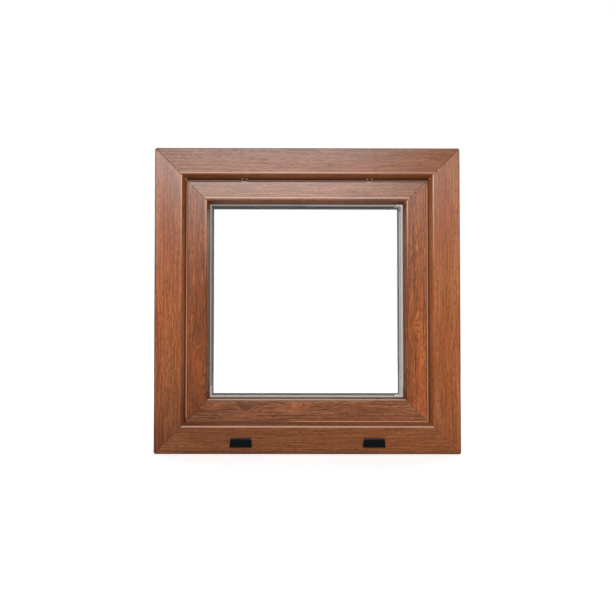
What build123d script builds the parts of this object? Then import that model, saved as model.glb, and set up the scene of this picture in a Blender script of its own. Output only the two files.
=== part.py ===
from build123d import *
import math
import os

# A small tilt and turn window in foiled uPVC, opening inwards, closed.
# Millimetres. X runs right as seen from outside, Y runs into the building, Z runs up.
# The origin is in the middle of the outer frame's underside, halfway through its depth.
#
# A section is drawn in two measures: "u" is the distance in from the window's outer
# perimeter and "v" is the depth behind the outer frame's exterior face.

# Outer frame
WIDTH = 600.0                # over the outer frame
HEIGHT = 600.0               # over the outer frame
FRAME_DEPTH = 70.0           # exterior face to interior face
FRAME_SIGHT = 61.0           # perimeter to the end of the lip
LIP_DEPTH = 15.0             # exterior face to the back of the lip
LIP_BEVEL = 8.5              # run of the sloped edge of the lip
LIP_NOSE = 3.0               # square part at the end of the lip
REBATE_FLOOR = 42.0          # perimeter to the rebate floor
REBATE_FALL = 3.0            # the floor slopes towards the lip so that it drains
CORNER_EASE = 1.5            # radius of the long outside edges
LIP_EASE = 4.0               # radius where the exterior face turns into the bevel
NOSE_EASE = 1.0              # front edge of the nose, on the lip and on the glazing leg
NOSE_BACK_EASE = 0.6         # its back edge
REBATE_EASE = 1.5            # foot of the rebate, behind the lip
CORNER_ROUND = 5.0           # outer corners, rounded off after welding
WELD_GROOVE = 0.7            # side of the V left along each welded mitre
ANCHOR_MOUTH = 8.0           # undercut grooves for wall anchors, all round the perimeter
ANCHOR_FLOOR = 12.0
ANCHOR_DEPTH = 3.5
ANCHOR_INSET = 17.0          # face of the frame to the middle of a groove

# Sash
AIR_GAP = 12.0               # rebate floor to the side of the sash
STOP_GAP = 3.0               # back of the lip to the sash, taken up by a gasket
SASH_WIDTH = 53.0            # side of the sash to the end of its glazing leg
SASH_LAP = 8.0               # how far the sash laps over the frame inside
LAP_GAP = 3.0                # frame to lap, taken up by a gasket
LAP_DEPTH = 15.0             # thickness of the lap, to the sash's interior face
LEG_DEPTH = 13.0             # exterior face of the sash to the back of the glazing leg
LEG_HEIGHT = 17.0            # glazing rebate floor to the end of the leg
LEG_BEVEL = 5.5
LEG_NOSE = 3.0
LEG_EASE = 3.0
SASH_EASE = 3.0              # radius of the interior edges
EURO_WIDTH = 16.0            # stepped hardware groove in the side of the sash
EURO_DEPTH = 3.0
EURO_CORE = 12.0
EURO_CORE_DEPTH = 9.0
EURO_INSET = 9.0             # back of the lap to the near side of the groove

# Glass unit
PANE = 4.0
CAVITY = 16.0
GLASS_EDGE_GAP = 5.0         # glazing rebate floor to the glass edge, held by packers
SEALANT = 5.0                # width of the edge sealant between the panes
SPACER = 7.0                 # width of the spacer bar between the panes
PACKER_LENGTH = 60.0
PACKER_INSET = 70.0          # corner of the glass to the middle of a packer
GLAZING_GASKET = 3.0         # thickness, both sides of the unit
OUTER_GASKET_SHOW = 4.0      # gasket seen past the glazing leg
INNER_GASKET_SHOW = 1.8      # gasket seen past the glazing bead

# Glazing bead
BEAD_HEIGHT = 22.0
BEAD_TOP = 4.0               # flat at the top of the bead
BEAD_FOOT = 5.0              # height of the bead at the interior face
BEAD_EASE = 2.0
BEAD_FRONT_EASE = 0.8        # edge next to the inner glazing gasket
BEAD_SETBACK = 3.0           # bead to the sash's interior face
CLIP_WIDTH = 4.0             # tongue that snaps into the glazing rebate floor
CLIP_DEPTH = 4.0
FIT = 0.3                    # clearance round pieces that plug in

# Stop and lap gaskets
GASKET_NOSE = 0.45           # radius of a gasket's nose, as a share of its thickness
STOP_SHOW = 3.0              # stop gasket seen past the lip
STOP_WIDTH = 8.0
STOP_VENT = 12.0             # length cut out of its nose in the head, to vent the rebate
STOP_VENT_SPACING = 248.0
STOP_VENT_CUT = 4.5          # how far the cut goes in from the nose
LAP_GASKET_WIDTH = 5.0
LAP_GASKET_INSET = 1.5

# Drainage
CAP_WIDTH = 44.0             # hooded drain cap, at its foot
CAP_TOP = 40.0               # and along its top
CAP_HEIGHT = 17.0
CAP_DEPTH = 5.0
CAP_WALL = 1.4
CAP_CHAMFER = 1.8
CAP_LEG = 3.0
CAP_LEG_REACH = 6.0          # into the slot
CAP_SPACING = 260.0
CAP_CENTRE = 22.8            # above the underside of the frame
DRAIN_LENGTH = 28.0
DRAIN_HEIGHT = 6.0
DRAIN_DEPTH = 12.0

# Handle
BACKSET = 15.5               # side of the sash to the spindle
ROSE_WIDTH = 28.0
ROSE_LENGTH = 70.0
ROSE_DEPTH = 11.0
ROSE_CORNER = 9.0
ROSE_CHAMFER = 2.2
NECK = 18.0
NECK_COLLAR = 6.0            # round neck standing out of the rose
HANDLE_REACH = 44.0          # interior face of the sash to the middle of the grip
GRIP_LENGTH = 122.0          # spindle to the end of the grip
GRIP_WIDTH = 20.0
GRIP_THICKNESS = 12.0
GRIP_EASE = 5.0
GRIP_BEND = 16.0
GRIP_END_CHAMFER = 2.0
SPINDLE = 7.0
SPINDLE_DEPTH = 20.0

# Hinges
BARREL = 14.0                # outside of the hinge barrels
HINGE_PIN = 7.0
HINGE_REACH = 12.0           # lap edge to the hinge axis
LOWER_BLOCK = 26.0           # height of the bearing on the frame
LOWER_BARREL = 46.0          # height of the barrel on the sash
UPPER_BLOCK = 24.0
UPPER_BARREL = 40.0
HINGE_FOOT = 24.0            # perimeter to the underside of the lower hinge
HINGE_PLATE = 3.0
HINGE_WEB = 5.0
HINGE_PIN_REACH = 20.0       # pin standing out of its block
BEARING_WIDTH = 24.0
HINGE_GAP = 0.5              # running gap between the barrels

# Lock rails and keeps
LOCK_RAIL_END = 22.0         # corner of the sash to the end of a lock rail
LOCK_RAIL_DEPTH = 2.6
CAM = 9.0                    # roller cams that slide into the keeps
CAM_HEIGHT = 8.0             # out of the rail
CAM_INSET = 90.0             # end of a rail to its cams
KEEP_LENGTH = 32.0
KEEP_BASE = 2.0
KEEP_WALL = 3.0
KEEP_HEIGHT = 7.0
KEEP_CLEARANCE = 0.8         # cam to the walls of its keep

WEDGE_SPARE = 20.0           # how far the mitre planes are drawn past the deepest section

# Planes of the section
SASH_SIDE = REBATE_FLOOR + AIR_GAP
SASH_FRONT = LIP_DEPTH + STOP_GAP
LAP_EDGE = REBATE_FLOOR - SASH_LAP
LAP_FRONT = FRAME_DEPTH + LAP_GAP
SASH_BACK = LAP_FRONT + LAP_DEPTH
LEG_END = SASH_SIDE + SASH_WIDTH
LEG_BACK = SASH_FRONT + LEG_DEPTH
GLAZING_FLOOR = LEG_END - LEG_HEIGHT
GLASS_EDGE = GLAZING_FLOOR + GLASS_EDGE_GAP
OUTER_PANE_FRONT = LEG_BACK + GLAZING_GASKET
CAVITY_FRONT = OUTER_PANE_FRONT + PANE
INNER_PANE_FRONT = CAVITY_FRONT + CAVITY
INNER_PANE_BACK = INNER_PANE_FRONT + PANE
BEAD_FRONT = INNER_PANE_BACK + GLAZING_GASKET
BEAD_BACK = SASH_BACK - BEAD_SETBACK
CLIP_MIDDLE = (BEAD_FRONT + BEAD_BACK) / 2
WEDGE_REACH = GLAZING_FLOOR + BEAD_HEIGHT + WEDGE_SPARE
GROOVE_NEAR = LAP_FRONT - EURO_INSET
GROOVE_MIDDLE = GROOVE_NEAR - EURO_WIDTH / 2
HINGE_AXIS = LAP_FRONT + LAP_DEPTH / 2

# Left and right are as seen from outside.
SIDES = {
    "bottom": (WIDTH, Pos(0, 0, 0)),
    "top": (WIDTH, Pos(0, 0, HEIGHT) * Rot(0, 180, 0)),
    "left": (HEIGHT, Pos(-WIDTH / 2, 0, HEIGHT / 2) * Rot(0, 90, 0)),
    "right": (HEIGHT, Pos(WIDTH / 2, 0, HEIGHT / 2) * Rot(0, -90, 0)),
}


def depth(v):
    """Place along Y of a depth behind the frame's exterior face."""
    return v - FRAME_DEPTH / 2


def section(*corners):
    """Closed outline of (u, v) corners, rounded where a corner also gives a radius."""
    points = [(depth(c[1]), c[0]) for c in corners]
    face = make_face(Polyline(*points, close=True))
    for point, corner in zip(points, corners):
        if len(corner) == 3:
            face = fillet(face.vertices().sort_by_distance((*point, 0))[0], corner[2])
    return face


def weld_groove(half, end, v, low, high):
    """V along the mitre at one end of a bar, in the face at depth v from u low to u high."""
    middle = (low + high) / 2
    groove = Rot(45, 0, 0) * Box((high - low) * math.sqrt(2), WELD_GROOVE, WELD_GROOVE)
    return Pos(end * (half - middle), depth(v), middle) * Rot(0, end * 45, 0) * groove


def bar(face, side, welds=()):
    """The section run along one side of the window, mitred at both ends."""
    length, place = SIDES[side]
    half = length / 2
    wedge = make_face(Polyline((-half, 0), (half, 0), (half - WEDGE_REACH, WEDGE_REACH),
                               (WEDGE_REACH - half, WEDGE_REACH), close=True))
    body = extrude(Plane.YZ * face, amount=half, both=True)
    body = body & extrude(Plane.XZ * wedge, amount=2 * SASH_BACK, both=True)
    for weld in welds:
        for end in (-1, 1):
            body -= weld_groove(half, end, *weld)
    return place * body


def ring(face):
    """The section run round all four sides as one piece."""
    bottom, top, left, right = (bar(face, side) for side in ("bottom", "top", "left", "right"))
    return bottom + top + left + right


def anchor_groove(middle):
    mouth, floor = ANCHOR_MOUTH / 2, ANCHOR_FLOOR / 2
    return section((0, middle - mouth), (0, middle + mouth), (ANCHOR_DEPTH, middle + floor),
                   (ANCHOR_DEPTH, middle - floor))


def frame_section():
    face = section(
        (0, 0, CORNER_EASE),
        (FRAME_SIGHT - LIP_BEVEL, 0, LIP_EASE),
        (FRAME_SIGHT, LIP_DEPTH - LIP_NOSE, NOSE_EASE),
        (FRAME_SIGHT, LIP_DEPTH, NOSE_BACK_EASE),
        (REBATE_FLOOR - REBATE_FALL, LIP_DEPTH, REBATE_EASE),
        (REBATE_FLOOR, LIP_DEPTH + (FRAME_DEPTH - LIP_DEPTH) / 2),
        (REBATE_FLOOR, FRAME_DEPTH, CORNER_EASE),
        (0, FRAME_DEPTH, CORNER_EASE),
    )
    return face - anchor_groove(ANCHOR_INSET) - anchor_groove(FRAME_DEPTH - ANCHOR_INSET)


def frame_bar(side):
    """One mitred side of the outer frame, with the frame's corners rounded off."""
    welds = ((0, 0, FRAME_SIGHT - LIP_BEVEL), (FRAME_DEPTH, 0, REBATE_FLOOR))
    outline = Pos(0, 0, HEIGHT / 2) * (Plane.XZ * RectangleRounded(WIDTH, HEIGHT, CORNER_ROUND))
    return bar(frame_section(), side, welds) & extrude(outline, amount=FRAME_DEPTH, both=True)


def hardware_groove():
    """Stepped groove in the side of the sash that takes the locking hardware."""
    far = GROOVE_NEAR - EURO_WIDTH
    step = section((SASH_SIDE, GROOVE_NEAR), (SASH_SIDE, far),
                   (SASH_SIDE + EURO_DEPTH, far), (SASH_SIDE + EURO_DEPTH, GROOVE_NEAR))
    core_near, core_far = GROOVE_MIDDLE + EURO_CORE / 2, GROOVE_MIDDLE - EURO_CORE / 2
    core = section((SASH_SIDE, core_near), (SASH_SIDE, core_far),
                   (SASH_SIDE + EURO_CORE_DEPTH, core_far), (SASH_SIDE + EURO_CORE_DEPTH, core_near))
    return step + core


def clip_tongue(clearance):
    """Cross-section of the bead's tongue, or of its slot when given a clearance."""
    half = CLIP_WIDTH / 2 + clearance
    return section((GLAZING_FLOOR, CLIP_MIDDLE - half), (GLAZING_FLOOR, CLIP_MIDDLE + half),
                   (GLAZING_FLOOR - CLIP_DEPTH - clearance, CLIP_MIDDLE + half),
                   (GLAZING_FLOOR - CLIP_DEPTH - clearance, CLIP_MIDDLE - half))


def sash_section():
    face = section(
        (SASH_SIDE, SASH_FRONT, CORNER_EASE),
        (LEG_END - LEG_BEVEL, SASH_FRONT, LEG_EASE),
        (LEG_END, LEG_BACK - LEG_NOSE, NOSE_EASE),
        (LEG_END, LEG_BACK, NOSE_BACK_EASE),
        (GLAZING_FLOOR, LEG_BACK),
        (GLAZING_FLOOR, BEAD_BACK),
        (GLAZING_FLOOR, SASH_BACK, CORNER_EASE),
        (LAP_EDGE, SASH_BACK, SASH_EASE),
        (LAP_EDGE, LAP_FRONT, CORNER_EASE),
        (SASH_SIDE, LAP_FRONT),
    )
    return face - hardware_groove() - clip_tongue(FIT)


def sash_bar(side):
    welds = ((SASH_FRONT, SASH_SIDE, LEG_END - LEG_BEVEL), (SASH_BACK, LAP_EDGE, GLAZING_FLOOR))
    return bar(sash_section(), side, welds)


def bead_section():
    top = GLAZING_FLOOR + BEAD_HEIGHT
    face = section(
        (GLAZING_FLOOR, BEAD_FRONT),
        (top, BEAD_FRONT, BEAD_FRONT_EASE),
        (top, BEAD_FRONT + BEAD_TOP, BEAD_EASE),
        (GLAZING_FLOOR + BEAD_FOOT, BEAD_BACK, BEAD_EASE),
        (GLAZING_FLOOR, BEAD_BACK),
    )
    return face + clip_tongue(0)


def gasket_section(foot, end, front, back):
    """Flat seal between two faces, with a rounded nose at the end that shows."""
    nose = (back - front) * GASKET_NOSE
    return section((foot, front), (end, front, nose), (end, back, nose), (foot, back))


def stop_gasket():
    """Seal behind the lip, its nose cut away at two places in the head."""
    end = FRAME_SIGHT + STOP_SHOW
    seal = ring(gasket_section(end - STOP_WIDTH, end, LIP_DEPTH, SASH_FRONT))
    vent = Box(STOP_VENT, 2 * STOP_GAP, 2 * STOP_VENT_CUT)
    for x in (-STOP_VENT_SPACING / 2, STOP_VENT_SPACING / 2):
        seal -= Pos(x, depth((LIP_DEPTH + SASH_FRONT) / 2), HEIGHT - end) * vent
    return seal


def lap_gasket():
    foot = LAP_EDGE + LAP_GASKET_INSET + LAP_GASKET_WIDTH
    return ring(gasket_section(foot, LAP_EDGE + LAP_GASKET_INSET, FRAME_DEPTH, LAP_FRONT))


def outer_glazing_gasket():
    end = LEG_END + OUTER_GASKET_SHOW
    return ring(gasket_section(GLASS_EDGE, end, LEG_BACK, OUTER_PANE_FRONT))


def inner_glazing_gasket():
    end = GLAZING_FLOOR + BEAD_HEIGHT + INNER_GASKET_SHOW
    return ring(gasket_section(GLASS_EDGE, end, INNER_PANE_BACK, BEAD_FRONT))


def pane(front):
    size = Box(WIDTH - 2 * GLASS_EDGE, PANE, HEIGHT - 2 * GLASS_EDGE)
    return Pos(0, depth(front + PANE / 2), HEIGHT / 2) * size


def cavity_ring(inner, outer):
    """Ring that fills the space between the panes over one stretch of u."""
    return ring(section((inner, CAVITY_FRONT), (outer, CAVITY_FRONT),
                        (outer, INNER_PANE_FRONT), (inner, INNER_PANE_FRONT)))


def packers():
    """Blocks that hold the glass unit off the rebate floor, two on each side."""
    span = INNER_PANE_BACK - OUTER_PANE_FRONT
    block = Box(PACKER_LENGTH, span, GLASS_EDGE_GAP)
    blocks = []
    for length, place in SIDES.values():
        along = length / 2 - GLASS_EDGE - PACKER_INSET
        for x in (-along, along):
            middle = (x, depth(OUTER_PANE_FRONT + span / 2), GLAZING_FLOOR + GLASS_EDGE_GAP / 2)
            blocks.append(place * Pos(*middle) * block)
    return Compound(blocks)


def drain_slot(x):
    """Milled slot with round ends in the sill's exterior wall."""
    slot = SlotOverall(DRAIN_LENGTH, DRAIN_HEIGHT)
    return Pos(x, depth(0), CAP_CENTRE) * extrude(Plane.XZ * slot, amount=-DRAIN_DEPTH)


def drain_cap(x):
    """Hood over a drain slot, open underneath, with two legs that clip into the slot."""
    foot, top, half = CAP_WIDTH / 2, CAP_TOP / 2, CAP_HEIGHT / 2
    outline = make_face(Polyline((-foot, -half), (foot, -half), (top, half), (-top, half), close=True))
    hood = extrude(Plane.XZ * outline, amount=CAP_DEPTH)
    hood = chamfer(hood.edges().group_by(Axis.Y)[0].sort_by(Axis.Z)[1:], CAP_CHAMFER)
    hollow = extrude(Plane.XZ * offset(outline, -CAP_WALL), amount=CAP_DEPTH - CAP_WALL)
    hood = hood - hollow - Pos(0, 0, -2 * CAP_WALL) * hollow
    reach = (DRAIN_LENGTH - DRAIN_HEIGHT - CAP_LEG) / 2
    leg = Box(CAP_LEG, CAP_DEPTH - CAP_WALL + CAP_LEG_REACH, DRAIN_HEIGHT - 2 * FIT,
              align=(Align.CENTER, Align.MIN, Align.CENTER))
    legs = [Pos(side * reach, CAP_WALL - CAP_DEPTH, 0) * leg for side in (-1, 1)]
    return Pos(x, depth(0), CAP_CENTRE) * (hood + legs)


def lock_rail(side):
    """Sliding rail in the sash's hardware groove, with the cams that lock behind the keeps."""
    length, place = SIDES[side]
    half = length / 2 - SASH_SIDE - LOCK_RAIL_END
    floor = SASH_SIDE + EURO_DEPTH - LOCK_RAIL_DEPTH
    rail = Box(2 * half, EURO_WIDTH - 2 * FIT, LOCK_RAIL_DEPTH, align=(Align.CENTER, Align.CENTER, Align.MIN))
    rail += [Pos(end * (half - CAM_INSET), 0, 0) * post(CAM / 2, -CAM_HEIGHT, 0) for end in (-1, 1)]
    return place * Pos(0, depth(GROOVE_MIDDLE), floor) * rail


def keeps(side):
    """Channels screwed to the rebate floor, one facing each cam of the lock rail."""
    length, place = SIDES[side]
    along = length / 2 - SASH_SIDE - LOCK_RAIL_END - CAM_INSET
    inside = CAM + 2 * KEEP_CLEARANCE
    channel = Box(KEEP_LENGTH, inside + 2 * KEEP_WALL, KEEP_HEIGHT,
                  align=(Align.CENTER, Align.CENTER, Align.MIN))
    channel -= Pos(0, 0, KEEP_BASE) * Box(KEEP_LENGTH, inside, KEEP_HEIGHT,
                                          align=(Align.CENTER, Align.CENTER, Align.MIN))
    return [place * Pos(end * along, depth(GROOVE_MIDDLE), REBATE_FLOOR) * channel for end in (-1, 1)]


def spindle_place():
    return Pos(WIDTH / 2 - SASH_SIDE - BACKSET, depth(SASH_BACK), HEIGHT / 2)


def spindle(clearance):
    """Square bar that turns the lock, or its hole when given a clearance."""
    side = SPINDLE + 2 * clearance
    return Box(side, SPINDLE_DEPTH + clearance, side, align=(Align.CENTER, Align.MAX, Align.CENTER))


def handle_rose():
    outline = RectangleRounded(ROSE_WIDTH, ROSE_LENGTH, ROSE_CORNER)
    rose = extrude(Plane.XZ * outline, amount=-ROSE_DEPTH)
    rose = chamfer(rose.edges().group_by(Axis.Y)[-1], ROSE_CHAMFER)
    return spindle_place() * (rose - extrude(Plane.XZ * Circle(NECK / 2 + FIT), amount=-ROSE_DEPTH))


def handle_lever():
    """Neck, grip pointing down and square spindle, in one piece."""
    path = FilletPolyline((0, ROSE_DEPTH, 0), (0, HANDLE_REACH, 0), (0, HANDLE_REACH, -GRIP_LENGTH),
                          radius=GRIP_BEND)
    grip = sweep(Plane.XZ.offset(-ROSE_DEPTH) * RectangleRounded(GRIP_WIDTH, GRIP_THICKNESS, GRIP_EASE),
                 path=path)
    grip = chamfer(grip.edges().group_by(Axis.Z)[0], GRIP_END_CHAMFER)
    neck = extrude(Plane.XZ * Circle(NECK / 2), amount=-ROSE_DEPTH - NECK_COLLAR)
    return spindle_place() * (grip + neck + spindle(0))


def post(radius, low, high):
    return Pos(0, 0, low) * Cylinder(radius, high - low, align=(Align.CENTER, Align.CENTER, Align.MIN))


def hinge_place(upper):
    """The hinge axis at the underside of the lower hinge, or its mirror at the head."""
    x = -WIDTH / 2 + LAP_EDGE - HINGE_REACH
    y = depth(HINGE_AXIS)
    if upper:
        return Pos(x, y, HEIGHT - HINGE_FOOT) * Rot(0, 180, 0)
    return Pos(x, y, HINGE_FOOT)


def hinge_bearing(upper, block):
    """Block screwed to the frame's interior face, with the pin that the sash hangs on."""
    back = FRAME_DEPTH - HINGE_AXIS
    plate = Pos(0, back + HINGE_PLATE / 2, block / 2) * Box(BEARING_WIDTH, HINGE_PLATE, block)
    web = Pos(0, back / 2, block / 2) * Box(BARREL, -back, block)
    return hinge_place(upper) * (plate + web + post(BARREL / 2, 0, block)
                                 + post(HINGE_PIN / 2, 0, block + HINGE_PIN_REACH))


def hinge_band(upper, block, length):
    """Barrel over the pin, with a leaf screwed to the edge of the sash's lap."""
    low = block + HINGE_GAP
    out = -1 if upper else 1
    leaf_depth = LAP_DEPTH - SASH_EASE - CORNER_EASE
    middle = LAP_FRONT + CORNER_EASE + leaf_depth / 2 - HINGE_AXIS
    leaf = Pos(out * (HINGE_REACH - HINGE_PLATE / 2), middle, low + length / 2)
    web = Pos(out * HINGE_REACH / 2, 0, low + length / 2)
    band = post(BARREL / 2, low, low + length)
    band += web * Box(HINGE_REACH, HINGE_WEB, length) + leaf * Box(HINGE_PLATE, leaf_depth, length)
    return hinge_place(upper) * (band - post(HINGE_PIN / 2 + FIT, low, block + HINGE_PIN_REACH + FIT))


def write(node, shape):
    shape.label = node
    export_step(shape, os.path.join("parts", node + ".step"))


def build():
    os.makedirs("parts", exist_ok=True)

    sill, head, left_jamb, right_jamb = (frame_bar(side) for side in SIDES)
    for x in (-CAP_SPACING / 2, CAP_SPACING / 2):
        sill -= drain_slot(x)
    write("frame_sill", sill)
    write("frame_head", head)
    write("frame_left_jamb", left_jamb)
    write("frame_right_jamb", right_jamb)
    write("frame_stop_gasket", stop_gasket())
    write("drain_cap_left", drain_cap(-CAP_SPACING / 2))
    write("drain_cap_right", drain_cap(CAP_SPACING / 2))

    bottom_rail, top_rail, left_stile, right_stile = (sash_bar(side) for side in SIDES)
    write("sash_bottom_rail", bottom_rail)
    write("sash_top_rail", top_rail)
    write("sash_left_stile", left_stile)
    write("sash_right_stile", right_stile - spindle_place() * spindle(FIT))
    write("sash_lap_gasket", lap_gasket())

    for side in SIDES:
        write("lock_rail_" + side, lock_rail(side))
    write("lock_keeps", Compound([keep for side in SIDES for keep in keeps(side)]))

    write("glass_outer_pane", pane(OUTER_PANE_FRONT))
    write("glass_inner_pane", pane(INNER_PANE_FRONT))
    write("glass_edge_sealant", cavity_ring(GLASS_EDGE, GLASS_EDGE + SEALANT))
    write("glass_spacer_bar", cavity_ring(GLASS_EDGE + SEALANT, GLASS_EDGE + SEALANT + SPACER))
    write("glass_packers", packers())
    write("glazing_gasket_outside", outer_glazing_gasket())
    write("glazing_gasket_inside", inner_glazing_gasket())
    for side in SIDES:
        write("glazing_bead_" + side, bar(bead_section(), side))

    write("handle_rose", handle_rose())
    write("handle_lever", handle_lever())
    write("hinge_lower_bearing", hinge_bearing(False, LOWER_BLOCK))
    write("hinge_lower_band", hinge_band(False, LOWER_BLOCK, LOWER_BARREL))
    write("hinge_upper_bearing", hinge_bearing(True, UPPER_BLOCK))
    write("hinge_upper_band", hinge_band(True, UPPER_BLOCK, UPPER_BARREL))


build()
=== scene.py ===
import math

import bmesh
import bpy
from mathutils import Matrix, Vector


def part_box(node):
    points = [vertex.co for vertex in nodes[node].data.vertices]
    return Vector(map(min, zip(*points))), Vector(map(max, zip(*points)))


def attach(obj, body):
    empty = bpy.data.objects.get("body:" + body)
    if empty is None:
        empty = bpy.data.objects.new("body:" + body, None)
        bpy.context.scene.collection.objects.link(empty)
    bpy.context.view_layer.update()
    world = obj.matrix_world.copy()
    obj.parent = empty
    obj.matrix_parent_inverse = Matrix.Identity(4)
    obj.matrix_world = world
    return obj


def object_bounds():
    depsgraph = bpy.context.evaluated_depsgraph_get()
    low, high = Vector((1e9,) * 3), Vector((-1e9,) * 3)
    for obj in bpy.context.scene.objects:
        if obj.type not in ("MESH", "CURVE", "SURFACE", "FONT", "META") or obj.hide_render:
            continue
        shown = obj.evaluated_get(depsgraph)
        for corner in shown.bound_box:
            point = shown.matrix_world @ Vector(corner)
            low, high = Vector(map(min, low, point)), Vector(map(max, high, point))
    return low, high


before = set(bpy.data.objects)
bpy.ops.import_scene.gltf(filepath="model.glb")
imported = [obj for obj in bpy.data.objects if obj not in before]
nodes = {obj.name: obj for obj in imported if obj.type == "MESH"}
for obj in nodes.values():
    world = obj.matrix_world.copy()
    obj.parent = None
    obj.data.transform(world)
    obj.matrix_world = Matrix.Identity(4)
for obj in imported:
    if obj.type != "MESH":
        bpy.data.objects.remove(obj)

cadLow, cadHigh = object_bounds()
print("frame loaded:", len(nodes), "nodes")

scene = bpy.context.scene
scene.view_settings.view_transform = "Standard"

# where things are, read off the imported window
outLow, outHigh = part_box("frame_sill")
faceY = outLow.y                     # exterior face of the outer frame
backY = outHigh.y                    # its interior face
windowWidth = cadHigh.x - cadLow.x
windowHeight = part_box("frame_head")[1].z
middle = Vector(((cadLow.x + cadHigh.x) / 2, faceY, windowHeight / 2))
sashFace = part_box("frame_stop_gasket")[1].y - faceY    # depth of the sash's exterior face
lipSlope, legSlope = 0.0088, 0.0058  # widths of the slopes of the frame's lip and of the sash's leg
lipEnd = outHigh.z                   # in from the perimeter: end of the frame's lip
lipTurn = lipEnd - lipSlope          # where the lip starts to slope
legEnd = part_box("sash_bottom_rail")[1].z               # end of the sash's glazing leg
legTurn = legEnd - legSlope          # where the leg starts to slope


# a node socket that can be added, multiplied and so on
class Wire:
    def __init__(self, shader, socket):
        self.shader, self.socket = shader, socket

    def maths(self, operation, *others):
        values = dict(enumerate((self,) + others))
        return self.shader.node("ShaderNodeMath", {"operation": operation}, values)

    def __add__(self, other):
        return self.maths("ADD", other)

    def __radd__(self, other):
        return self + other

    def __sub__(self, other):
        return self.maths("SUBTRACT", other)

    def __rsub__(self, other):
        return self * -1 + other

    def __mul__(self, other):
        return self.maths("MULTIPLY", other)

    def __rmul__(self, other):
        return self * other

    def __truediv__(self, other):
        return self.maths("DIVIDE", other)

    def __pow__(self, other):
        return self.maths("POWER", other)

    def __abs__(self):
        return self.maths("ABSOLUTE")

    def sin(self):
        return self.maths("SINE")

    def over(self, other):
        return self.maths("GREATER_THAN", other)

    def under(self, other):
        return self.maths("LESS_THAN", other)

    def least(self, other):
        return self.maths("MINIMUM", other)

    def most(self, other):
        return self.maths("MAXIMUM", other)

    # 1 where the value is 0, falling away to 0
    def fade(self):
        return (self * -1).maths("EXPONENT")

    # 0 below low, 1 above high, smooth between
    def ramp(self, low, high):
        settings = {"interpolation_type": "SMOOTHSTEP"}
        return self.shader.node("ShaderNodeMapRange", settings, {0: self, 1: low, 2: high, 3: 0.0, 4: 1.0})


# one material and the tools that add nodes to it
class Shader:
    def __init__(self, name, tree=None):
        if tree is None:
            self.material = bpy.data.materials.new(name)
            self.material.use_nodes = True
            tree = self.material.node_tree
        self.tree = tree
        tree.nodes.clear()

    def node(self, kind, settings=None, values=None, out=0):
        made = self.tree.nodes.new(kind)
        for key, value in (settings or {}).items():
            setattr(made, key, value)
        for key, value in (values or {}).items():
            if isinstance(value, Wire):
                self.tree.links.new(value.socket, made.inputs[key])
            else:
                made.inputs[key].default_value = value
        return Wire(self, made.outputs[out]) if made.outputs else None

    def place(self):
        spot = self.node("ShaderNodeTexCoord", out="Object")
        return [self.node("ShaderNodeSeparateXYZ", None, {0: spot}, out=k) for k in range(3)]

    def vector(self, x, y, z):
        return self.node("ShaderNodeCombineXYZ", None, {0: x, 1: y, 2: z})

    def noise(self, spot, detail=2.0, rough=0.5):
        values = {"Vector": spot, "Scale": 1.0, "Detail": detail, "Roughness": rough}
        return self.node("ShaderNodeTexNoise", None, values)

    # noise of the same grain every way, so many turns to the metre
    def cloud(self, place, turns, detail=2.0):
        x, y, z = place
        return self.noise(self.vector(x * turns, y * turns, z * turns), detail)

    def mix(self, amount, first, second, blend="MIX"):
        settings = {"data_type": "RGBA", "blend_type": blend}
        return self.node("ShaderNodeMix", settings, {0: amount, 6: opaque(first), 7: opaque(second)}, out=2)

    def scale(self, colour, amount):
        return self.node("ShaderNodeVectorMath", {"operation": "SCALE"}, {0: colour, 3: amount})

    def bump(self, height, depth, strength=1.0):
        return self.node("ShaderNodeBump", None, {"Strength": strength, "Distance": depth, "Height": height})

    def principled(self, values):
        return self.node("ShaderNodeBsdfPrincipled", None, values)

    def finish(self, surface):
        self.node("ShaderNodeOutputMaterial", None, {"Surface": surface})
        return self.material


def opaque(colour):
    return colour if isinstance(colour, Wire) else (*colour, 1.0)


def dress(node, material):
    for slot in nodes[node].material_slots:
        slot.link = "OBJECT"
        slot.material = material


# golden oak foil
oak = {
    "pale": (0.53, 0.170, 0.052),
    "warm": (0.42, 0.112, 0.027),
    "blush": (0.43, 0.092, 0.030),       # reddish veins
    "flame": (0.56, 0.140, 0.030),       # orange flames and knots
    "olive": (0.29, 0.105, 0.024),       # greenish brown veins
    "deep": (0.165, 0.044, 0.013),       # late wood
    "pore": (0.050, 0.016, 0.008),
    "rim": (0.94, 0.62, 0.46),           # painted highlight over an inner edge; scraped foil by the vents and mitres has this colour too
    "ring": 0.0068,                      # spacing of the year lines
    "swirl": 2.6,                        # how far the lines wander, in lines
    "waver": 0.9,                        # how far they waver from fibre to fibre
    "pushed": 0.6,                       # how far figures push them aside
    "lineSharp": 1.8,                    # the higher, the narrower the dark lines
    "faintLine": 0.4,                    # strength of the faintest ones
    "dashPlain": 0.45,                   # strength of a dash, and what its hairs add
    "dashHair": 0.75,
    "poreInLine": 0.4,                   # pores keep to the year lines and the dashes
    "poreInDash": 0.6,
    "poreShare": 0.8,
    "flameLoss": 0.6,                    # share of a flame that a year line hides
    "blotchTone": 0.4,
    "hairTone": 0.5,
    "emboss": 0.00006,
    "embossStrength": 0.8,
    "lineDip": 0.2,                      # depth of the year lines, where a pore is 1 deep
    "hairRise": 0.25,
    "rough": 0.27,
    "fibreRough": 0.1,
    "poreRough": 0.2,
    "gloss": 0.2,
    "coatRough": 0.3,
    "coatFrom": 0.0012,                  # in from the perimeter: where the sheen starts
    "coatOnSlope": 0.8,                  # share of the sheen that a slope loses
}
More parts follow.
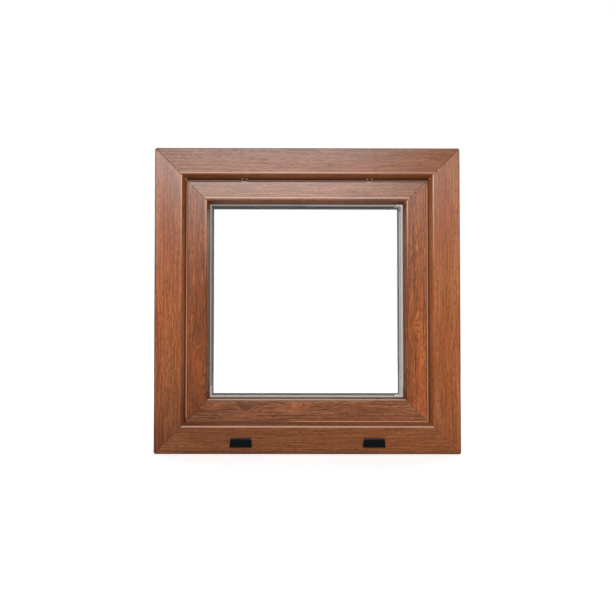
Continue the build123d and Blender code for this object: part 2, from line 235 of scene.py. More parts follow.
# slow noise in the grain: turns to the metre along and across the bar, seed, detail, roughness
drifts = {
    "bend": (4.5, 24, 0, 1.5, 0.5),      # the year lines' wandering
    "waver": (24, 75, 3, 2.0, 0.5),
    "pale": (5, 40, 4, 2.0, 0.5),        # pale and warm ground
    "density": (13, 85, 9, 2.0, 0.5),    # stronger and fainter year lines
    "blotch": (34, 120, 15, 3.0, 0.65),
}
# streaks in the grain: length, width, seed, detail, roughness
streaks = {
    "vein": (0.14, 0.0065, 12, 2.0, 0.55),
    "fibre": (0.07, 0.0019, 2, 2.0, 0.6),
    "pores": (0.0055, 0.00032, 6, 1.0, 0.5),
    "hair": (0.016, 0.00045, 21, 3.0, 0.6),            # the finest fibres, seen from close by
    "dash": (0.010, 0.0013, 18, 1.0, 0.5),             # clusters of pores
}
# between which values of its noise a layer shows
spans = {
    "pale": (0.36, 0.68), "density": (0.32, 0.68), "dash": (0.46, 0.66), "dashHair": (0.4, 0.6),
    "pores": (0.56, 0.66), "blush": (0.52, 0.72), "olive": (0.52, 0.72), "fibres": (0.46, 0.66),
    "paleFibres": (0.5, 0.68),
}
# how strongly each layer shows on a bar whose grain is 1, and at most
layers = {
    "blush": (0.5, 1), "olive": (0.55, 1), "lines": (0.42, 0.95),
    "fibres": (0.5, 0.85), "paleFibres": (0.5, 0.8), "dashes": (0.62, 0.9),
}
# tone: at the low or left end, in the middle and at the other end, partly the foil's own and partly painted
# light and shade. lean: painted light and shade, how much lighter it is on its inner side. sheen, and rim,
# the painted highlight on the inner edge: at both ends. rimShift: how far that painted highlight lies off
# the
# edge. slope: painted shade on the slope behind the edge, and how much darker it ends.
bars = {
    "frame_sill": {
        "tone": (0.77, 0.85, 1.07), "tint": (1, 1.1, 1.25), "lean": 0.0, "grain": 1.2,
        "sheen": (0.0, 0.0), "rim": (1.0, 1.0), "rimShift": 0.0012, "slope": (0.24, 0.0)},
    "frame_head": {
        "tone": (0.69, 0.79, 0.86), "tint": (1, 1.02, 0.95), "lean": 0.32, "grain": 0.95,
        "sheen": (0.15, 0.15), "rim": (0.54, 0.32), "rimShift": -0.0034, "slope": (0.27, 0.53)},
    "frame_left_jamb": {
        "tone": (0.52, 1.28, 0.74), "tint": (1, 1, 1.08), "lean": -0.13, "grain": 1.15,
        "sheen": (0.0, 0.42), "rim": (0.0, 0.9), "rimShift": 0.0, "slope": (0.18, 0.38)},
    "frame_right_jamb": {
        "tone": (0.96, 1.32, 0.90), "tint": (1, 1.01, 1.05), "lean": 0.0, "grain": 1.05,
        "sheen": (0.0, 0.65), "rim": (0.0, 0.75), "rimShift": 0.0, "slope": (0.08, 0.4)},
    "sash_bottom_rail": {
        "tone": (0.71, 1.0, 1.12), "tint": (0.99, 1.2, 1.7), "lean": 0.0, "grain": 1.9,
        "sheen": (0.0, 0.0), "rim": (1.0, 1.0), "rimShift": 0.0026, "slope": (0.25, 0.15)},
    "sash_top_rail": {
        "tone": (0.77, 1.0, 0.78), "tint": (0.96, 1.05, 1.12), "lean": 0.24, "grain": 1.4,
        "sheen": (0.58, 0.58), "rim": (0.66, 0.66), "rimShift": -0.0054, "slope": (0.35, 0.2)},
    "sash_left_stile": {
        "tone": (0.65, 0.97, 0.81), "tint": (1, 0.94, 0.90), "lean": -0.17, "grain": 1.6,
        "sheen": (0.0, 0.42), "rim": (0.0, 0.85), "rimShift": -0.0016, "slope": (0.2, 0.3)},
    "sash_right_stile": {
        "tone": (1.42, 1.30, 0.88), "tint": (1, 0.98, 0.92), "lean": -0.34, "grain": 1.7,
        "sheen": (0.0, 0.5), "rim": (0.0, 0.9), "rimShift": -0.0008, "slope": (0.2, 0.3)},
}
for side in ("bottom", "top", "left", "right"):
    bars["glazing_bead_" + side] = {
        "tone": (0.9, 0.9, 0.9), "tint": (1, 1, 1), "lean": 0.0, "grain": 0.8,
        "sheen": (0.3, 0.3), "rim": (0.0, 0.0), "rimShift": 0.0, "slope": (0.0, 0.0)}
changes = {"rim": (0.5, 0.95), "sheen": (0.3, 0.95)}   # where along a bar these change
seedStep = 1.37                          # from one bar's grain to the next
# knots and flames: along the bar, across it, half length, half width, lines pushed aside, orange
figures = {
    "sash_bottom_rail": [(-0.022, 0.089, 0.026, 0.0075, 2.6, 0.55), (0.085, 0.084, 0.030, 0.008, -2.0, 0.1),
                         (-0.120, 0.083, 0.020, 0.007, 2.2, 0.1), (-0.182, 0.090, 0.017, 0.0065, 2.0, 0.5)],
    "sash_left_stile": [(0.172, -0.219, 0.034, 0.0075, 2.6, 0.6), (0.225, -0.209, 0.020, 0.006, -2.2, 0.2),
                        (0.130, -0.210, 0.018, 0.006, 2.0, 0.0), (0.395, -0.214, 0.045, 0.008, 1.6, 0.1)],
    "sash_right_stile": [(0.155, 0.226, 0.045, 0.0060, 2.0, 0.5), (0.25, 0.213, 0.032, 0.007, 2.4, 0.1),
                         (0.39, 0.220, 0.050, 0.008, -1.8, 0.1)],
    "frame_right_jamb": [(0.19, 0.275, 0.060, 0.009, 1.6, 0.1)],
}
squareToMitre = 0.7071                   # from a distance along a bar to one square to its mitre


# how far a point lies in from the perimeter, behind the exterior face and away from the mitre
def sectionPlace(x, y, z):
    fromSide = abs(x) * -1 + windowWidth / 2
    fromLevel = z.least(windowHeight - z)
    return fromSide.least(fromLevel), y - faceY, abs(fromSide - fromLevel) * squareToMitre


# 1 inside a band of a given middle and half width, fading at its edges
def band(value, middleAt, half, soft):
    return 1 - abs(value - middleAt).ramp(half - soft, half + soft)


# every fibre flows round the knots and flames of a bar
def roundFigures(name, run, side, across):
    flame = None
    for spot, level, length, width, push, light in figures.get(name, ()):
        eye = (((run - spot) / length) ** 2 + ((side - level) / width) ** 2).fade()
        across = across + eye * (push * oak["ring"] * oak["pushed"])
        flame = eye * light if flame is None else flame.most(eye * light)
    return across, flame


def drift(s, name, run, across, seed):
    along, sideways, shift, detail, rough = drifts[name]
    return s.noise(s.vector(run * along, across * sideways, seed + shift), detail, rough)


def streak(s, name, run, across, seed):
    length, width, shift, detail, rough = streaks[name]
    return s.noise(s.vector(run / length, across / width, seed + shift), detail, rough)


def shown(layer, grain):
    share, atMost = layers[layer]
    return min(share * grain, atMost)


# the grain's colour, height and roughness
def oakGrain(s, grain, run, across, seed, flame):
    # year lines: straight along the bar, bent by slow noise
    bend = drift(s, "bend", run, across, seed) * oak["swirl"]
    waver = drift(s, "waver", run, across, seed) * (oak["waver"] * grain)
    pale = drift(s, "pale", run, across, seed).ramp(*spans["pale"])
    phase = (across / oak["ring"] + bend + waver) * math.tau
    line = (phase.sin() * 0.5 + 0.5) ** oak["lineSharp"]
    density = drift(s, "density", run, across, seed).ramp(*spans["density"])
    line = line * (density * (1 - oak["faintLine"]) + oak["faintLine"])

    vein = streak(s, "vein", run, across, seed)
    fibre = streak(s, "fibre", run, across, seed)
    pores = streak(s, "pores", run, across, seed)
    hair = streak(s, "hair", run, across, seed)
    dash = streak(s, "dash", run, across, seed)
    dash = dash.ramp(*spans["dash"]) * (hair.ramp(*spans["dashHair"]) * oak["dashHair"] + oak["dashPlain"])
    pores = pores.ramp(*spans["pores"]) * (line * oak["poreInLine"] + dash * oak["poreInDash"])

    colour = s.mix(pale, oak["warm"], oak["pale"])
    for layer, noise, paint in (("blush", vein, "blush"), ("olive", 1 - vein, "olive"),
                                ("lines", line, "deep"), ("fibres", fibre, "deep"),
                                ("paleFibres", 1 - fibre, "pale"), ("dashes", dash, "deep")):
        mask = noise.ramp(*spans[layer]) if layer in spans else noise
        colour = s.mix(mask * shown(layer, grain), colour, oak[paint])
    colour = s.mix(pores * oak["poreShare"], colour, oak["pore"])
    if flame is not None:
        colour = s.mix(flame * (1 - line * oak["flameLoss"]), colour, oak["flame"])
    blotch = drift(s, "blotch", run, across, seed)
    tone = (blotch - 0.5) * (oak["blotchTone"] * grain) + (hair - 0.5) * oak["hairTone"] + 1
    height = pores * -1 + line * -oak["lineDip"] + hair * oak["hairRise"]
    rough = fibre * oak["fibreRough"] + pores * oak["poreRough"] + (oak["rough"] - oak["fibreRough"] / 2)
    return s.scale(colour, tone), height, rough


# tone along the bar, through the one at its middle, and across it: partly the foil's own, partly painted
# light and shade
def barTone(bar, part, inset):
    low, centre, high = bar["tone"]
    tone = (part * (2 * (low + high - 2 * centre)) + (4 * centre - 3 * low - high)) * part + low
    return tone * ((inset - 0.5) * bar["lean"] + 1)


# rim or sheen, from its value at the low or left end of a bar to the one at its other end
def alongBar(part, bar, what):
    low, high = bar[what]
    return part.ramp(*changes[what]) * (high - low) + low


# the inner edge of a bar, with its painted highlight, and the slope behind it, with its painted shade
innerEdge = {
    "rimHalf": 0.0010,                   # half width of the painted highlight
    "rimSoft": 0.0006,
    "rimBack": 0.012,                    # how far back from the bar's face it shows
    "slopeSoft": 0.0016,
    "slopeBack": 0.034,                  # deepest part of a slope
    "darker": (0.0052, 0.0008),          # painted shade: before the slope's end, where it begins to darken, and is darkest
    "nip": (0.0018, 0.0006),             # the same for the painted shadow line that ends a jamb's slope
    "nipShade": 0.25,
}


# a painted highlight over the inner edge, and painted shade on the slope behind it, darker towards the seal
def edgeAndSlope(s, name, bar, colour, part, reach, back, section):
    front, turn, end = section
    # painted highlight on the inner edge, as strong as the bar's rim says
    rim = band(reach, turn + bar["rimShift"], innerEdge["rimHalf"], innerEdge["rimSoft"])
    rim = rim * back.under(front + innerEdge["rimBack"])
    colour = s.mix(rim * alongBar(part, bar, "rim"), colour, oak["rim"])
    # painted shade on the slope, darker towards the seal, and on a jamb a painted shadow line at its end
    shade, darker = bar["slope"]
    start = turn + min(bar["rimShift"], 0.0)
    onSlope = reach.ramp(start, start + innerEdge["slopeSoft"]) * back.under(innerEdge["slopeBack"])
    begins, full = innerEdge["darker"]
    deeper = reach.ramp(end - begins, end - full) * darker
    if "jamb" in name:
        begins, full = innerEdge["nip"]
        deeper = deeper + reach.ramp(end - begins, end - full) * innerEdge["nipShade"]
    return s.scale(colour, 1 - onSlope * (deeper + shade)), onSlope


# mouths of the two vents drilled in the head's slope: painted shade in the mouth, with a scraped edge at
# each side
vents = {
    "spacing": 0.248,
    "length": 0.0085,
    "mouth": 0.3,                        # half length of the dark mouth, as a share of the length
    "scrapeHalf": 0.0013,
    "depth": 0.0105,                     # of its middle, back from the face
    "depthHalf": 0.0016,
    "soft": 0.0006,
    "scrapeSoft": 0.0008,
    "slopeFrom": 0.002,                  # after the lip's turn
    "slopeBack": 0.0148,
    "dark": 0.8,
    "pale": 0.7,
}


def ventMark(s, colour, x, back, reach):
    depth, half, soft = vents["depth"], vents["depthHalf"], vents["soft"]
    along = abs(abs(x) - vents["spacing"] / 2)
    onSlope = reach.over(lipTurn + vents["slopeFrom"]) * back.under(vents["slopeBack"])
    mouth = band(along, 0.0, vents["length"] * vents["mouth"], soft) * band(back, depth, half, soft)
    scraped = band(along, vents["length"] / 2, vents["scrapeHalf"], soft)
    scraped = scraped * band(back, depth, half, vents["scrapeSoft"])
    # painted shade in the vent's mouth
    colour = s.mix(mouth * onSlope * vents["dark"], colour, oak["pore"])
    return s.mix(scraped * onSlope * vents["pale"], colour, oak["rim"])


# the sill's lower edge lies in shade
sillFoot = {"from": 0.003, "to": 0.011, "shade": 0.25}

# welded mitre: a dark dashed line, with pale flecks of scraped foil, fainter towards the bottom
mitre = {
    "lineHalf": 0.0006,
    "fleckHalf": 0.0007,
    "fleckAt": 0.0010,                   # away from the seam
    "fleckFrom": (0.004, 0.02),          # in from the perimeter: first and fully
    "soft": 0.0003,
    "dashes": 180,                       # to the metre
    "dashSpan": (0.35, 0.55),
    "fleckSpan": (0.54, 0.64),
    "dark": 0.6,
    "leastDark": 0.15,
    "pale": 0.65,
    "leastPale": 0.05,
    "rise": (0.3, 0.7),                  # shares of the height between which it grows stronger
    "onSash": 0.6,
}


def mitreMark(s, colour, place, reach, seam, sash):
    low, high = mitre["rise"]
    broken = s.cloud(place, mitre["dashes"])
    upper = place[2].ramp(windowHeight * low, windowHeight * high) * (mitre["onSash"] if sash else 1.0)
    joint = band(seam, 0.0, mitre["lineHalf"], mitre["soft"]) * broken.ramp(*mitre["dashSpan"])
    colour = s.mix(joint * (upper * mitre["dark"] + mitre["leastDark"]), colour, oak["pore"])
    fleck = band(seam, mitre["fleckAt"], mitre["fleckHalf"], mitre["soft"])
    fleck = fleck * broken.ramp(*mitre["fleckSpan"]) * reach.ramp(*mitre["fleckFrom"])
    return s.mix(fleck * (upper * mitre["pale"] + mitre["leastPale"]), colour, oak["rim"])


# brown core, bare on the perimeter behind the wrapped foil, where the wall hides it
core = {
    "colour": (0.125, 0.072, 0.053),
    "dim": 0.85,                         # its darker lines
    "wrap": 0.006,                       # how far the foil reaches round the outer edges
    "reach": 0.0045,                     # how far in from the perimeter it can lie bare
    "edge": (0.0010, 0.0018),            # the face also takes the core's colour along its outer edge, up to here
    "edgeShare": 0.9,
    "corner": (0.0012, 0.0026),          # and a little further in by a mitre
    "seam": (0.003, 0.008),
    "lines": (4, 900),                   # turns to the metre along the bar and across it
    "rough": 0.6,
}


def bareCore(s, colour, rough, y, run, across, reach, seam):
    along, sideways = core["lines"]
    bare = reach.under(core["reach"]) * abs(y).under(backY - core["wrap"])
    bare = bare.most((1 - reach.ramp(*core["edge"])) * core["edgeShare"])
    bare = bare.most((1 - reach.ramp(*core["corner"])) * (1 - seam.ramp(*core["seam"])))
    lines = s.noise(s.vector(run * along, across * sideways, y * sideways), 2.0)
    dimmed = tuple(c * core["dim"] for c in core["colour"])
    return s.mix(bare, colour, s.mix(lines, dimmed, core["colour"])), rough + bare * core["rough"]


def oakFoil(name, along, inward, bar, seed):
    s = Shader(name + "Oak")
    x, y, z = place = s.place()
    run, side = (x, z) if along == "x" else (z, x)
    reach, back, seam = sectionPlace(x, y, z)
    across, flame = roundFigures(name, run, side, side - abs(y) * inward + seed)
    colour, height, rough = oakGrain(s, bar["grain"], run, across, seed, flame)

    sash = name.startswith("sash")
    front, outer, turn, end = (sashFace, lipEnd, legTurn, legEnd) if sash else (0.0, 0.0, lipTurn, lipEnd)
    first, length = (-windowWidth / 2, windowWidth) if along == "x" else (0.0, windowHeight)
    part = (run - first) / length
    tone = barTone(bar, part, (reach - outer) / (turn - outer))
    colour = s.mix(1.0, s.scale(colour, tone), bar["tint"], "MULTIPLY")
    colour, onSlope = edgeAndSlope(s, name, bar, colour, part, reach, back, (front, turn, end))
    if name == "frame_head":
        colour = ventMark(s, colour, x, back, reach)
    if name == "frame_sill":
        lit = z.ramp(sillFoot["from"], sillFoot["to"])
        colour = s.scale(colour, 1 - (1 - lit) * sillFoot["shade"])
    colour = mitreMark(s, colour, place, reach, seam, sash)
    if name.startswith("frame"):
        colour, rough = bareCore(s, colour, rough, y, run, across, reach, seam)

    sheen = 0.0
    if any(bar["sheen"]):
        sheen = alongBar(part, bar, "sheen") * reach.over(oak["coatFrom"])
        sheen = sheen * (1 - onSlope * oak["coatOnSlope"])
    return s.finish(s.principled({
        "Base Color": colour, "Roughness": rough,
        "Normal": s.bump(height, oak["emboss"], oak["embossStrength"]),
        "Specular IOR Level": oak["gloss"], "Coat Weight": sheen, "Coat Roughness": oak["coatRough"]}))


def dressBars():
    for count, (node, bar) in enumerate(bars.items()):
        level = any(word in node for word in ("sill", "head", "rail", "bottom", "top"))
        inward = 1 if any(word in node for word in ("sill", "bottom", "left")) else -1
        dress(node, oakFoil(node, "x" if level else "z", inward, bar, count * seedStep))
    print("bars dressed")


# the plainer finishes
finishes = {
    "lightGreySeal": {"colour": (0.50, 0.47, 0.43), "rough": 0.62},
    "edgeSealant": {"colour": (0.02, 0.02, 0.02), "rough": 0.5},
    "packerPlastic": {"colour": (0.05, 0.10, 0.28), "rough": 0.42, "emboss": 0.00007},
    "darkPowderCoat": {"colour": (0.028, 0.022, 0.018), "rough": 0.46, "emboss": 0.00012},
    "zincPlate": {"colour": (0.62, 0.62, 0.60), "rough": 0.38},
    "screwZinc": {"colour": (0.58, 0.57, 0.55), "rough": 0.34},
}

# every seal has a fine grit, and smears that make it a little lighter and darker
sealSkin = {"grit": 900, "gritRough": 0.12, "emboss": 0.00006, "embossStrength": 0.6, "smears": 25,
            "darker": 0.9, "lighter": 1.06, "palest": 0.9, "gloss": 0.35}


def sealFinish(s, place, colour, rough, gloss):
    grit = s.cloud(place, sealSkin["grit"], 3.0)
    return s.finish(s.principled({
        "Base Color": colour, "Roughness": grit * sealSkin["gritRough"] + rough,
        "Normal": s.bump(grit, sealSkin["emboss"], sealSkin["embossStrength"]),
        "Specular IOR Level": gloss}))


def rubber(name):
    colour, rough = finishes[name]["colour"], finishes[name]["rough"]
    s = Shader(name)
    place = s.place()
    darker = tuple(c * sealSkin["darker"] for c in colour)
    lighter = tuple(min(c * sealSkin["lighter"], sealSkin["palest"]) for c in colour)
    shade = s.mix(s.cloud(place, sealSkin["smears"]), darker, lighter)
    return sealFinish(s, place, shade, rough - sealSkin["gritRough"] / 2, sealSkin["gloss"])


# brown seal behind the lip, with a paler line where the light catches it; in the lower left corner
# and at the head it lies in shade
stopSeal = {
    "plain": (0.26, 0.095, 0.045),
    "line": (0.76, 0.36, 0.20),
    "topPlain": (0.26, 0.135, 0.090),
    "topLine": (0.30, 0.16, 0.11),
    "shadedLine": (0.20, 0.08, 0.04),
    "lineWidth": 0.0015,
    "soft": 0.0003,
    "leftRise": (0.22, 0.5),             # on the left side the painted highlight fades between these heights
    "leftFade": 0.65,
    "ends": 0.07,                        # how far from the top and the bottom the shade reaches
    "shadeStops": (-0.05, -0.01),        # along the bottom
    "smears": 12,
    "smearTone": 0.3,
    "rough": 0.5,
    "gloss": 0.3,
}


def stopRubber():
    s = Shader("brownStopSeal")
    x, y, z = place = s.place()
    reach = sectionPlace(x, y, z)[0]
    edge, soft = lipEnd + stopSeal["lineWidth"], stopSeal["soft"]
    line = 1 - reach.ramp(edge - soft, edge + soft)
    line = line * (1 - x.under(0) * z.ramp(*stopSeal["leftRise"]) * stopSeal["leftFade"])
    atTop = z.over(windowHeight - stopSeal["ends"])
    shaded = z.under(stopSeal["ends"]) * (1 - x.ramp(*stopSeal["shadeStops"]))
    bright = s.mix(atTop, s.mix(shaded, stopSeal["line"], stopSeal["shadedLine"]), stopSeal["topLine"])
    colour = s.mix(line, s.mix(atTop, stopSeal["plain"], stopSeal["topPlain"]), bright)
    smear = s.cloud(place, stopSeal["smears"])
    colour = s.scale(colour, smear * stopSeal["smearTone"] + (1 - stopSeal["smearTone"] / 2))
    return sealFinish(s, place, colour, stopSeal["rough"], stopSeal["gloss"])


# seals of the sealed unit: painted light makes them paler on the right and, up to palerBelow, at the bottom,
# where they face the
# light. Measured in from the perimeter: the paler part ends at palerUpTo; up to darkFoot, at the bottom
# lowFoot, painted shade darkens a seal where it meets its bar; on the left painted shade darkens it again
# from darkNose on.
outerSeal = {"plain": (0.44, 0.40, 0.355), "paler": (0.74, 0.68, 0.62), "palerBelow": 0.13,
             "palerUpTo": 0.120, "darkFoot": 0.1076, "lowFoot": 0.1086, "darkNose": 0.1096}
innerSeal = {"plain": (0.085, 0.09, 0.085), "paler": (0.88, 0.83, 0.77), "palerBelow": 0.0,
             "palerUpTo": 0.1106, "darkFoot": 0.1020, "lowFoot": 0.1020, "darkNose": 0.2}
unitSeal = {"right": 0.3, "lowBelow": 0.13, "soft": 0.0004, "footShade": 0.7, "noseShade": 0.45,
            "smearTone": 0.2, "rough": 0.56}


def glazingRubber(name, seal):
    s = Shader(name)
    x, y, z = place = s.place()
    reach = sectionPlace(x, y, z)[0]
    soft, lowBelow = unitSeal["soft"], unitSeal["lowBelow"]
    # painted light on the right and along the bottom
    lit = x.over(windowWidth * unitSeal["right"]).most(z.under(seal["palerBelow"]))
    lit = lit * (1 - reach.ramp(seal["palerUpTo"] - soft, seal["palerUpTo"] + soft))
    # painted shade where a seal meets its bar, and on the left towards its nose
    foot = z.under(lowBelow) * (seal["lowFoot"] - seal["darkFoot"]) + seal["darkFoot"]
    clear = (reach - foot).ramp(-soft, soft) * unitSeal["footShade"] + (1 - unitSeal["footShade"])
    nose = reach.over(seal["darkNose"]) * x.under(0) * z.over(lowBelow)
    clear = clear * (1 - nose * unitSeal["noseShade"])
    smear = s.cloud(place, sealSkin["smears"])
    tone = smear * unitSeal["smearTone"] + (1 - unitSeal["smearTone"] / 2)
    shade = s.scale(s.mix(lit, seal["plain"], seal["paler"]), tone * clear)
    return sealFinish(s, place, shade, unitSeal["rough"], sealSkin["gloss"])


# moulded plastic and powder coat: a fine sparkle, and worn places that are paler and rougher
plasticSkin = {"sparkle": 1600, "sparkleRough": 0.15, "embossStrength": 0.7, "worn": 60, "wornRough": 0.1,
               "wornSpan": (0.45, 0.75), "middleRough": 0.12, "paler": 1.5, "paleMore": 0.004, "gloss": 0.5}


def plasticShade(s, place, plain, paler):
    sparkle = s.cloud(place, plasticSkin["sparkle"])
    worn = s.cloud(place, plasticSkin["worn"], 3.0)
    shade = s.mix(worn.ramp(*plasticSkin["wornSpan"]), plain, paler)
    return shade, sparkle, sparkle * plasticSkin["sparkleRough"] + worn * plasticSkin["wornRough"]


def moulded(name):
    look = finishes[name]
    s = Shader(name)
    paler = tuple(c * plasticSkin["paler"] + plasticSkin["paleMore"] for c in look["colour"])
    shade, sparkle, rough = plasticShade(s, s.place(), look["colour"], paler)
    return s.finish(s.principled({
        "Base Color": shade, "Roughness": rough + (look["rough"] - plasticSkin["middleRough"]),
        "Normal": s.bump(sparkle, look["emboss"], plasticSkin["embossStrength"]),
        "Specular IOR Level": plasticSkin["gloss"]}))


# hooded drain caps, whose brow catches the light
cap = {
    "plain": (0.0030, 0.0042, 0.0046),
    "paler": (0.006, 0.010, 0.008),
    "brow": (0.045, 0.055, 0.075),
    "browFrom": 0.0024,                  # below the top of the cap
    "browTo": 0.0012,
    "browShare": 0.8,
    "rough": 0.4,
    "emboss": 0.00006,
    "gloss": 0.05,
}


def capPlastic():
    s = Shader("blackCapPlastic")
    place = s.place()
    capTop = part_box("drain_cap_left")[1].z
    brow = place[2].ramp(capTop - cap["browFrom"], capTop - cap["browTo"])
    shade, sparkle, rough = plasticShade(s, place, cap["plain"], cap["paler"])
    shade = s.mix(brow * cap["browShare"], shade, cap["brow"])
    return s.finish(s.principled({
        "Base Color": shade, "Roughness": rough + cap["rough"],
        "Normal": s.bump(sparkle, cap["emboss"], plasticSkin["embossStrength"]),
        "Specular IOR Level": cap["gloss"]}))


# fine lines that drawing or rolling leaves in a metal, in turns to the metre
drawn = {"along": 20, "across": 1500, "dim": 0.88, "rough": 0.15, "middleRough": 0.07,
         "emboss": 0.00003, "embossStrength": 0.5}


def drawnLines(s, place):
    x, y, z = place
    return s.noise(s.vector(x * drawn["along"], y * drawn["across"], z * drawn["along"]), 2.0)


def drawnMetal(name):
    colour, rough = finishes[name]["colour"], finishes[name]["rough"]
    s = Shader(name)
    lines = drawnLines(s, s.place())
    return s.finish(s.principled({
        "Base Color": s.mix(lines, tuple(c * drawn["dim"] for c in colour), colour), "Metallic": 1.0,
        "Roughness": lines * drawn["rough"] + (rough - drawn["middleRough"]),
        "Normal": s.bump(lines, drawn["emboss"], drawn["embossStrength"])}))


# folded aluminium spacer with two rows of fine holes towards the space between the panes
spacer = {
    "dark": (0.66, 0.66, 0.67),
    "light": (0.75, 0.75, 0.76),
    "hole": (0.05, 0.05, 0.05),
    "rowAt": 0.0045,                     # from the middle of the bar
    "rowHalf": 0.00035,
    "rowSoft": 0.0002,
    "holeSpacing": 0.0032,
    "holeSpan": (0.2, 0.5),              # on the wave that the spacing makes
    "holeShare": 0.85,
    "holeDepth": 3,
    "rough": 0.27,
    "emboss": 0.00005,
}


def spacerMetal():
    s = Shader("spacerAluminium")
    x, y, z = place = s.place()
    back = sectionPlace(x, y, z)[1]
    low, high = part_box("glass_spacer_bar")
    halfWidth = (high.y - low.y) / 2
    fromMiddle = abs(back - (low.y + halfWidth - faceY))
    row = band(fromMiddle, spacer["rowAt"], spacer["rowHalf"], spacer["rowSoft"])
    hole = row * ((x + z) * (math.tau / spacer["holeSpacing"])).sin().ramp(*spacer["holeSpan"])
    lines = drawnLines(s, place)
    shade = s.mix(lines, spacer["dark"], spacer["light"])
    return s.finish(s.principled({
        "Base Color": s.mix(hole * spacer["holeShare"], shade, spacer["hole"]), "Metallic": 1.0,
        "Roughness": lines * drawn["rough"] + spacer["rough"],
        "Normal": s.bump(lines - hole * spacer["holeDepth"], spacer["emboss"], drawn["embossStrength"])}))


# clear float glass: see-through, and a mirror at a grazing look
glass = {"straightOn": 0.026, "grazing": 0.85, "sharp": 5, "rough": 0.01, "haze": 6, "hazeRough": 0.02}


def clearGlass():
    s = Shader("clearFloatGlass")
    white = (1.0, 1.0, 1.0, 1.0)
    haze = s.cloud(s.place(), glass["haze"], 3.0)
    facing = s.node("ShaderNodeLayerWeight", None, {"Blend": 0.5}, out="Facing")
    amount = facing ** glass["sharp"] * glass["grazing"] + glass["straightOn"]
    rough = haze * glass["hazeRough"] + glass["rough"]
    through = s.node("ShaderNodeBsdfTransparent", None, {"Color": white})
    mirror = s.node("ShaderNodeBsdfAnisotropic", None, {"Color": white, "Roughness": rough})
    return s.finish(s.node("ShaderNodeMixShader", None, {0: amount, 1: through, 2: mirror}))


def dressRest():
    dress("sash_lap_gasket", rubber("lightGreySeal"))
    dress("glazing_gasket_outside", glazingRubber("outerGlazingSeal", outerSeal))
    dress("frame_stop_gasket", stopRubber())
    dress("glazing_gasket_inside", glazingRubber("innerGlazingSeal", innerSeal))
    dress("glass_edge_sealant", rubber("edgeSealant"))
    dress("glass_spacer_bar", spacerMetal())
    dress("glass_packers", moulded("packerPlastic"))
    black = capPlastic()
    darkCoat = moulded("darkPowderCoat")
    zinc = drawnMetal("zincPlate")
    clear = clearGlass()
    for node in nodes:
        if node.startswith("drain_cap"):
            dress(node, black)
        if node.startswith(("handle", "hinge")):
            dress(node, darkCoat)
        if node.startswith("lock"):
            dress(node, zinc)
        if node.endswith("pane"):
            dress(node, clear)
    print("seals, glass and hardware dressed")


# hexagon socket screws at the ends of the hinge barrels: the lower one sets the sash's height, the
# upper one holds the pin
hexScrew = {
    "radius": 0.0042,
    "corners": 48,                       # round the head
    "proud": 0.0007,
    "chamfer": 0.0004,
    "socket": 0.0023,
    "depth": 0.0005,
    "barrelAt": 0.368,                   # middle of the barrel, as a share of the hinge's width
}
hingeScrews = {"hinge_height_screw": "hinge_lower_band", "hinge_pin_screw": "hinge_upper_bearing"}


def addHexScrew(name, node):
    low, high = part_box(node)
    mesh = bmesh.new()
    rims = []
    proud, radius, socket = hexScrew["proud"], hexScrew["radius"], hexScrew["socket"]
    chamfer, depth, many = hexScrew["chamfer"], hexScrew["depth"], hexScrew["corners"]
    sides = 6
    steps = ((radius, 0.0, many), (radius, proud - chamfer, many), (radius - chamfer, proud, many),
             (socket, proud, sides), (socket, proud - depth, sides))
    for size, height, corners in steps:
        rim = []
        for k in range(corners):
            turn = math.tau * k / corners
            rim.append(mesh.verts.new((size * math.cos(turn), size * math.sin(turn), height)))
        rims.append(rim)
    for inner, outer in zip(rims[1:], rims):
        share = len(outer) // len(inner)
        for k in range(len(inner)):
            arc = [outer[(k * share + j) % len(outer)] for j in range(share + 1)]
            mesh.faces.new(arc + [inner[(k + 1) % len(inner)], inner[k]])
    mesh.faces.new(rims[-1])
    mesh.faces.new(list(reversed(rims[0])))
    bmesh.ops.recalc_face_normals(mesh, faces=mesh.faces)
    data = bpy.data.meshes.new(name)
    mesh.to_mesh(data)
    mesh.free()
    made = bpy.data.objects.new(name, data)
    made.location = (low.x + (high.x - low.x) * hexScrew["barrelAt"], (low.y + high.y) / 2, high.z)
    scene.collection.objects.link(made)
    return made


def addHingeScrews():
    metal = drawnMetal("screwZinc")
    for name, node in hingeScrews.items():
        made = addHexScrew(name, node)
        made.data.materials.append(metal)
        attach(made, "root")
    print("hinge screws added")


# camera in front of the window, a little left of and below its middle
camera = {
    "reach": 1.6,                    # from the exterior face
    "left": 0.0938,
    "below": 0.0306,
    "pitch": 1.683,                  # degrees, upwards
    "yaw": -0.136,                   # degrees, negative is to the right
    "roll": 0.076,
    "picture": 616,                  # pixels along a side
    "focusPixels": 816.8,            # focal length in pixels of that picture
    "axisPixels": (-46.5, -16.1),    # lens axis from the picture's middle, to the right and down
    "sensor": 36,
}


def addCamera():
    picture = camera["picture"]
    right, down = camera["axisPixels"]
    data = bpy.data.cameras.new("camera")
    data.sensor_width = camera["sensor"]
    data.lens = camera["focusPixels"] / picture * camera["sensor"]
    data.shift_x = -right / picture
    data.shift_y = down / picture
    made = bpy.data.objects.new("camera", data)
    turn = Matrix.Rotation(math.radians(camera["yaw"]), 4, "Z")
    turn = turn @ Matrix.Rotation(math.radians(90 + camera["pitch"]), 4, "X")
    turn = turn @ Matrix.Rotation(math.radians(camera["roll"]), 4, "Z")
    spot = middle + Vector((-camera["left"], -camera["reach"], -camera["below"]))
    made.matrix_world = Matrix.Translation(spot) @ turn
    scene.collection.objects.link(made)
    scene.camera = made
    print("camera placed")


# soft boxes: place, what they aim at, width, height, watts; left and right as seen from behind
lamps = {
    "topBox": ((-0.06, -2.2, 1.13), (-0.06, 0.0, 0.4), 1.25, 0.3, 31),
    "backLeft": ((1.3, 1.6, 1.1), (0.0, 0.0, 0.3), 1.2, 1.2, 24),
    "backRight": ((-1.3, 1.6, 0.9), (0.0, 0.0, 0.3), 1.2, 1.2, 18),
}


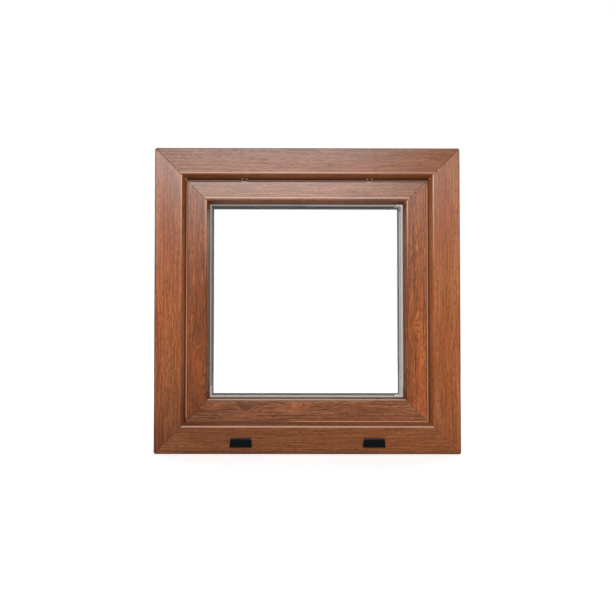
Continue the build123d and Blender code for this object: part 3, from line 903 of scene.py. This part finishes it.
def addLamps():
    for name, (spot, aim, width, height, power) in lamps.items():
        data = bpy.data.lights.new(name, "AREA")
        data.shape = "RECTANGLE"
        data.size, data.size_y, data.energy = width, height, power
        made = bpy.data.objects.new(name, data)
        made.location = spot
        made.rotation_mode = "QUATERNION"
        made.rotation_quaternion = (Vector(aim) - Vector(spot)).to_track_quat("-Z", "Y")
        made.visible_camera = False
        scene.collection.objects.link(made)
    print("lamps placed")


# the floor is seen white through its own glow, weaker near the window so that its shadow shows
studio = {
    "ambient": 0.12,
    "floorReach": 6.0,
    "floorDrop": 0.0005,
    "nearGlow": 0.72,
    "nearTo": 0.5,                       # how far from the window it stays so
    "farGlow": 1.0,
    "farFrom": 2.5,
    "dust": 40,
    "dusty": (0.55, 0.55, 0.55),
    "clean": (0.6, 0.6, 0.6),
}


# 1 for what the camera sees straight on, in a reflection or through glass
def seenBackdrop(s):
    seen = s.node("ShaderNodeLightPath", out="Is Camera Ray")
    for kind in ("Is Glossy Ray", "Is Transmission Ray"):
        seen = seen.most(s.node("ShaderNodeLightPath", out=kind))
    return seen


def addWorld():
    world = bpy.data.worlds.new("studio")
    world.use_nodes = True
    scene.world = world
    s = Shader("studio", world.node_tree)
    strength = seenBackdrop(s) * (1.0 - studio["ambient"]) + studio["ambient"]
    light = s.node("ShaderNodeBackground", None, {"Color": (1, 1, 1, 1), "Strength": strength})
    s.node("ShaderNodeOutputWorld", None, {"Surface": light})
    print("world lit")


def paleFloor():
    s = Shader("paleFloor")
    x, y, z = s.place()
    dust = s.noise(s.vector(x * studio["dust"], y * studio["dust"], z), 2.0)
    matt = s.node("ShaderNodeBsdfDiffuse", None, {"Color": s.mix(dust, studio["dusty"], studio["clean"])})
    away = (x ** 2 + y ** 2) ** 0.5
    near, far = (studio["nearGlow"],) * 3, (studio["farGlow"],) * 3
    white = s.mix(away.ramp(studio["nearTo"], studio["farFrom"]), near, far)
    glow = s.node("ShaderNodeEmission", None, {"Color": white, "Strength": 1.0})
    lit = s.node("ShaderNodeAddShader", None, {0: matt, 1: glow})
    return s.finish(s.node("ShaderNodeMixShader", None, {0: seenBackdrop(s), 1: matt, 2: lit}))


def addFloor():
    mesh = bpy.data.meshes.new("floor")
    reach = studio["floorReach"]
    corners = [(-reach, -reach, 0), (reach, -reach, 0), (reach, reach, 0), (-reach, reach, 0)]
    mesh.from_pydata(corners, [], [(0, 1, 2, 3)])
    mesh.materials.append(paleFloor())
    floor = bpy.data.objects.new("floor", mesh)
    floor.location.z = -studio["floorDrop"]
    scene.collection.objects.link(floor)
    print("floor laid")


dressBars()
dressRest()
addHingeScrews()
addCamera()
addLamps()
addWorld()
addFloor()
